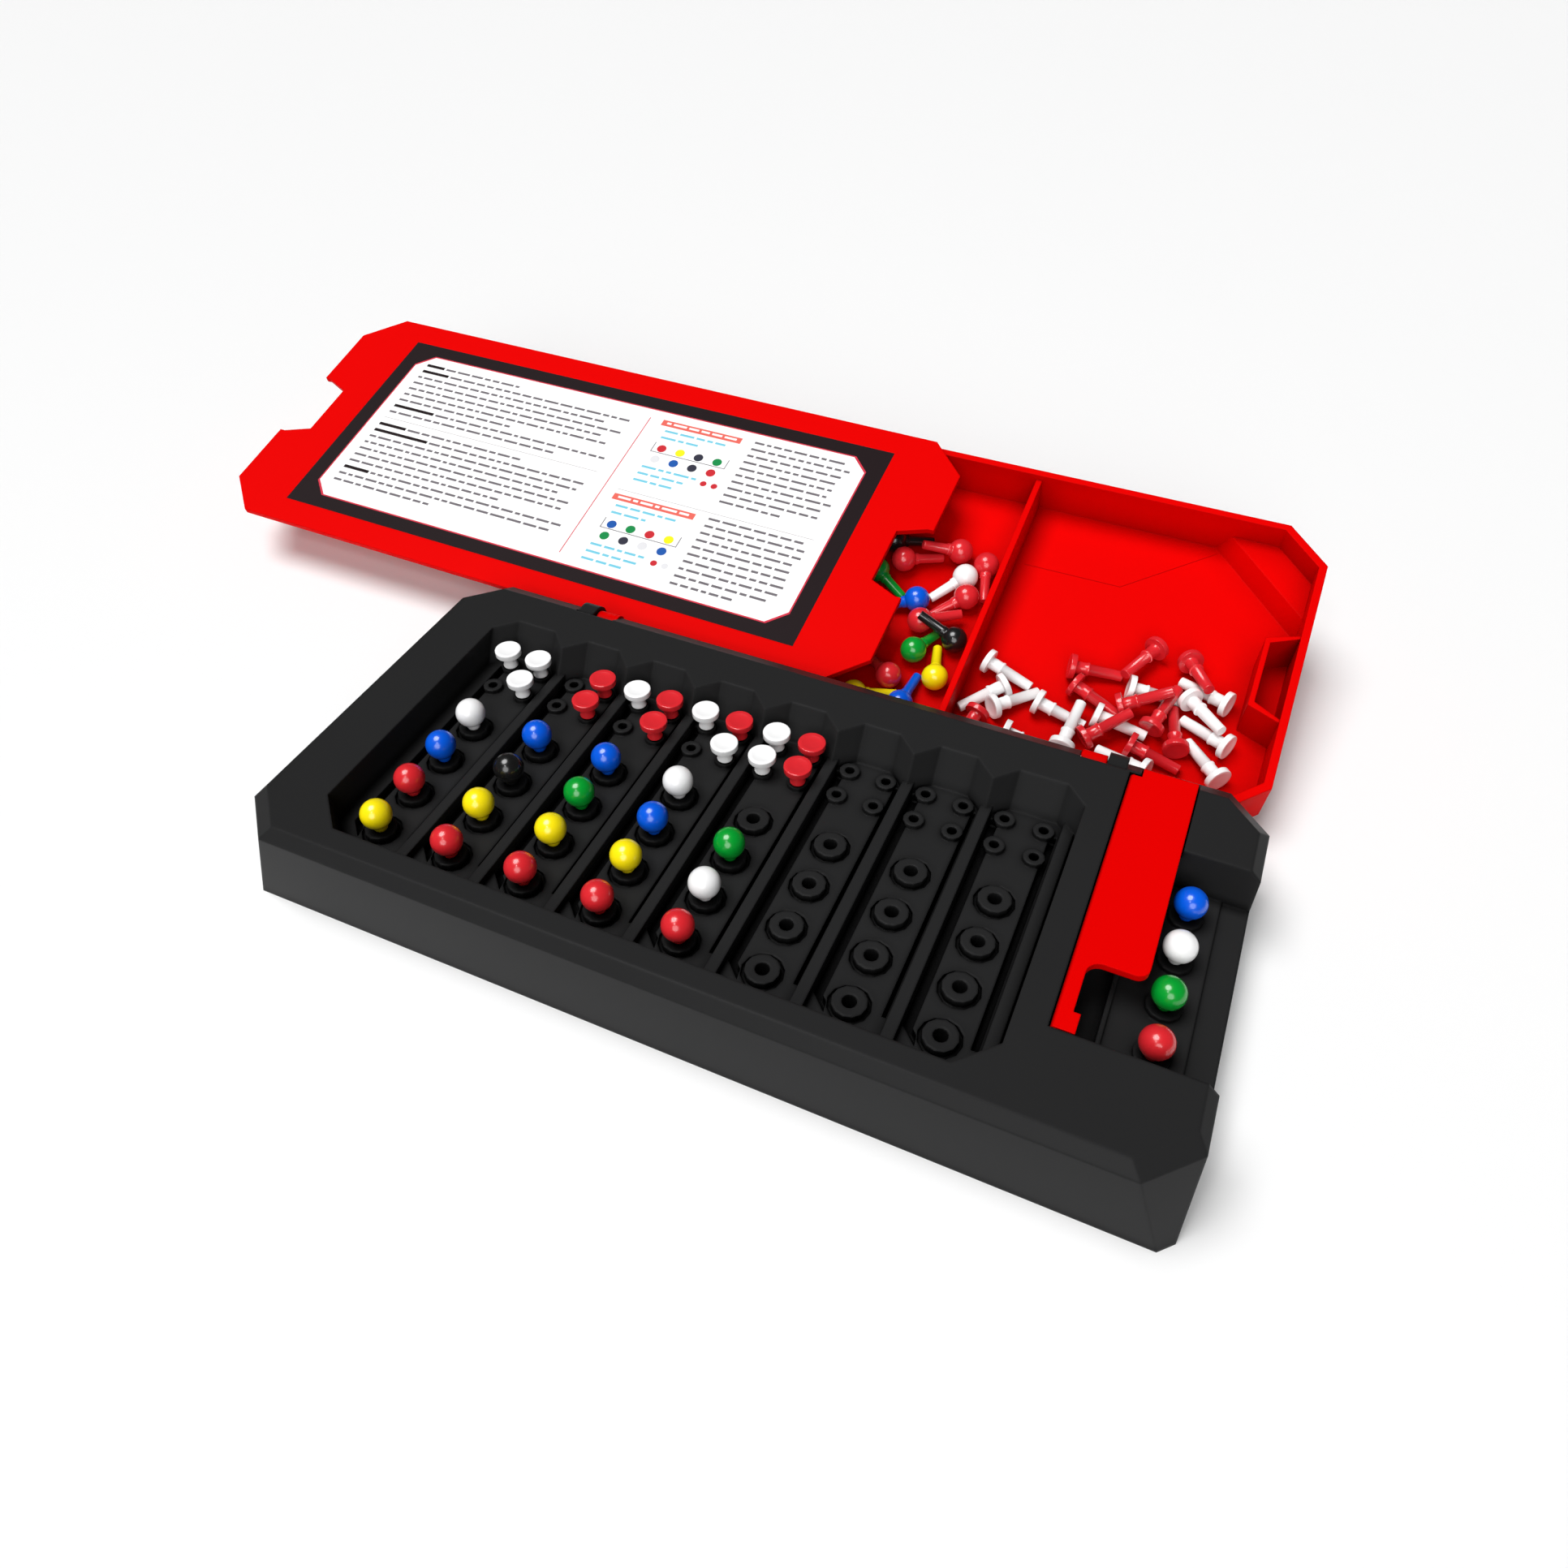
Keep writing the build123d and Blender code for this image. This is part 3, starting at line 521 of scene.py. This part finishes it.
# The pegs are small glossy mouldings. A code peg has a ball on a short neck, and a key peg a
# dished flat head on a waisted neck. The red ones are of a clear resin that lets light in.
def revolved(profile, steps):
    """Surface of revolution: at each profile point of radius r and height z, r times the cosine
    and sine of the turn. The two ends lie on the axis and are closed by triangles.
    """
    radius, height = profile[1:-1].T
    angle = np.linspace(0, 2 * math.pi, steps, endpoint=False)
    rings = np.stack([
        radius[:, None] * np.cos(angle), radius[:, None] * np.sin(angle),
        np.repeat(height[:, None], steps, axis=1),
    ], axis=2).reshape(-1, 3)
    ends = np.array([(0, 0, profile[0, 1]), (0, 0, profile[-1, 1])])
    points = np.concatenate([rings, ends])
    ring = np.arange(len(radius) - 1)[:, None] * steps
    step = np.arange(steps)
    after = (step + 1) % steps
    sides = np.stack([ring + step, ring + after, ring + steps + after, ring + steps + step], axis=2)
    last = (len(radius) - 1) * steps
    low = np.stack([after, step, np.full(steps, len(rings))], axis=1)
    high = np.stack([last + step, last + after, np.full(steps, len(rings) + 1)], axis=1)
    return points, sides.reshape(-1, 4).tolist() + low.tolist() + high.tolist()


def arc(centre_r, centre_z, radius, start, end, count):
    """Points of a profile on an arc: centre plus the radius times cosine and sine, in degrees."""
    angle = np.radians(np.linspace(start, end, count))
    return np.stack([centre_r + radius * np.cos(angle), centre_z + radius * np.sin(angle)], axis=1)


# Every height of a peg is measured from its foot, where the neck meets the shank
ball_radius, ball_height = 4.22, 4.95
shank_radius, shank_tip, shank_length = 1.7, 1.5, 8.8
neck_radius, neck_round, tip_round = 2.0, 0.2, 0.25
ball_starts, ball_ends = -55, 88
code_profile = np.concatenate([
    [(0.0, -shank_length)],
    arc(shank_tip - tip_round, -shank_length + tip_round, tip_round, -90, 0, 4),
    [(shank_radius, -0.15), (neck_radius - neck_round, 0.0)],
    arc(neck_radius - neck_round, neck_round, neck_round, -90, 0, 3),
    [(neck_radius, 1.0), (neck_radius + 0.1, 1.4)],
    arc(0, ball_height, ball_radius, ball_starts, ball_ends, 23),
    [(0.0, ball_height + ball_radius)],
])
head_radius, head_top, head_thick, rim_round = 3.95, 6.2, 1.85, 0.3
key_neck, key_length, key_tip_round, head_foot_round = 2.0, 10.5, 0.2, 0.15
dish_outer, dish_edge, dish_floor, dish_middle, dish_depth = 2.9, 2.7, 2.4, 0.6, 0.12


def key_peg_profile(shank, tip):
    """Outline of a key peg whose shank has these radii below its neck and at its tip."""
    under = head_top - head_thick
    dish_z = head_top - dish_depth
    return np.concatenate([
        [(0.0, -key_length)],
        arc(tip - key_tip_round, -key_length + key_tip_round, key_tip_round, -90, 0, 4),
        [(shank, -0.1), (key_neck + 0.1, 0.0)],
        arc(key_neck + 0.1, 0.15, 0.15, -90, 0, 3),
        [(key_neck + 0.2, 0.6), (key_neck, 0.9), (key_neck, under - 0.1), (key_neck + 0.1, under)],
        [(head_radius - 0.18, under)],
        arc(head_radius - head_foot_round, under + head_foot_round, head_foot_round, -80, 0, 4),
        arc(head_radius - rim_round, head_top - rim_round, rim_round, 0, 90, 6),
        [(dish_outer, head_top), (dish_edge, head_top - 0.03), (dish_floor, dish_z), (dish_middle, dish_z)],
        [(0.0, dish_z)],
    ])


standing_steps = 40
loose_steps = 32
peg_colour = {
    "red": (0.86, 0.026, 0.036), "yellow": (0.99, 0.80, 0.005), "blue": (0.001, 0.10, 0.70),
    "white": (0.93, 0.93, 0.93), "green": (0.001, 0.31, 0.028), "black": (0.008, 0.008, 0.008),
}
peg_plastic = {}
for colour, paint in peg_colour.items():
    peg_plastic[colour], peg_shader = moulded_plastic(
        colour + "_peg_plastic", paint, roughness=0.24, grain_scale=1500.0, grain=0.03, spread=0.04, edge=0.0)
    peg_shader.inputs["Coat Weight"].default_value = 0.35
    peg_shader.inputs["Coat Roughness"].default_value = 0.06
    if colour == "red":
        peg_shader.inputs["Transmission Weight"].default_value = 0.24
        peg_shader.inputs["IOR"].default_value = 1.49


def peg_set(node, body, colour, profile, steps, places):
    """One smooth piece for all the pegs of a CAD node: the turned form, moved to each place."""
    form, faces = revolved(profile, steps)
    points = np.concatenate([placed(place, form) for place in places])
    all_faces = [[corner + k * len(form) for corner in face] for k in range(len(places)) for face in faces]
    piece = new_piece(node + "_smooth", points, all_faces, [peg_plastic[colour]], smooth=True)
    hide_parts(node)
    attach(piece, body)


# The guesses stand in the front holes of the rows, front to back, and the secret code in the pit.
peg_rest = 0.3
first_row_x, row_pitch = -92.0, 22.5
first_code_y, code_pitch, boss_top = -39.5, 14.4, 20.3
guesses = (
    ("yellow", "red", "blue", "white"), ("red", "yellow", "black", "blue"),
    ("red", "yellow", "green", "blue"), ("red", "yellow", "blue", "white"),
    ("red", "white", "green", None),
)
for colour in peg_colour:
    places = [
        moved(first_row_x + row_pitch * row, first_code_y + code_pitch * k, boss_top + peg_rest)
        for row, guess in enumerate(guesses) for k, chosen in enumerate(guess) if chosen == colour
    ]
    peg_set("guess_pegs_" + colour, "guess_pegs_" + colour, colour, code_profile, standing_steps, places)

pit_x, first_pit_y, pit_pitch, pit_boss_top = 111.2, -21.9, 14.5, 16.0
for k, colour in enumerate(("red", "green", "white", "blue")):
    place = moved(pit_x, first_pit_y + pit_pitch * k, pit_boss_top + peg_rest)
    peg_set("secret_peg_" + colour, "secret_peg_" + colour, colour, code_profile, standing_steps, [place])

# The answers stand in the four small holes at the back of a row: row, left or right, front or back.
key_spread, first_key_y, key_pitch, key_boss_top = 5.4, 21.4, 10.0, 20.1
set_shank, set_tip = 1.3, 1.2
answers = {
    "white": ((0, -1, 1), (0, 1, 1), (0, 1, 0), (2, -1, 1), (3, -1, 1), (3, 1, 0), (4, -1, 1), (4, -1, 0)),
    "red": ((1, 1, 1), (1, 1, 0), (2, 1, 1), (2, 1, 0), (3, 1, 1), (4, 1, 1), (4, 1, 0)),
}
for colour, holes in answers.items():
    places = [
        moved(first_row_x + row_pitch * row + key_spread * side, first_key_y + key_pitch * step,
              key_boss_top + peg_rest)
        for row, side, step in holes
    ]
    form = key_peg_profile(set_shank, set_tip)
    peg_set("key_pegs_" + colour, "key_pegs_" + colour, colour, form, standing_steps, places)

# The spare pegs lie loose in the tray, code pegs at the left of its divider and key pegs at the
# right: place along the tray, distance from its front rim, turn, and rise of the tip.
loose_code = {
    "red": ((-4, 69, 210, 0), (13, 78, 25, 8), (23, 75, 105, 0), (21, 60, 45, 0),
            (10, 46, 210, 2.6), (8, 22, 325, 0)),
    "white": ((18, 68, 50, 0),),
    "blue": ((6, 54, 25, 0), (15, 13, 265, 0)),
    "green": ((12, 34, 245, 0), (-11, 62, 150, 0)),
    "yellow": ((22, 26, 285, 0), (0, 12, 205, 0), (-7, 32, 245, 0)),
    "black": ((23, 42, 350, 8), (-10, 76, 205, 0)),
}
loose_key = {
    "white": (
        (44, 31, 45, 0), (42, 21, 225, 0), (112, 18, 315, 0), (112, 30, 335, 0), (109, 45, 340, 0),
        (72, 29, 175, 0), (79, 42, 185, 0), (35, 38, 165, 0), (54, 28, 170, 0), (48, 14, 175, 0),
        (97, 44, 135, 6), (66, 14, 265, 4), (80, 11, 0, 2.6), (92, 14, 345, 0),
    ),
    "red": (
        (60, 44, 190, 0), (84, 60, 65, 4), (94, 58, 120, 8), (63, 38, 160, 0), (78, 34, 205, 8),
        (39, 19, 75, 0), (71, 19, 225, 6), (89, 29, 255, 4), (98, 24, 285, 0), (60, 7, 185, 0),
        (84, 22, 170, 0),
    ),
}


def lying(place, head_height, radius, tip, length):
    """Matrix of a peg that lies on its head's edge, with its tip on the tray's floor or raised."""
    x, v, turn, rise = place
    slope = math.degrees(math.asin((radius - tip - rise) / length))
    height = tray_floor_z + radius + peg_rest
    return on_tray @ moved(x, v, height) @ turned(2, turn) @ turned(1, 90 - slope) @ moved(0, 0, -head_height)


code_length = ball_height + shank_length
for colour, spots in loose_code.items():
    places = [lying(spot, ball_height, ball_radius, shank_tip, code_length) for spot in spots]
    peg_set("spare_code_pegs_" + colour, "tray", colour, code_profile, loose_steps, places)
loose_shank, loose_tip = 1.8, 1.65
for colour, spots in loose_key.items():
    places = [lying(spot, head_top, head_radius, loose_tip, head_top + key_length) for spot in spots]
    form = key_peg_profile(loose_shank, loose_tip)
    peg_set("spare_key_pegs_" + colour, "tray", colour, form, loose_steps, places)
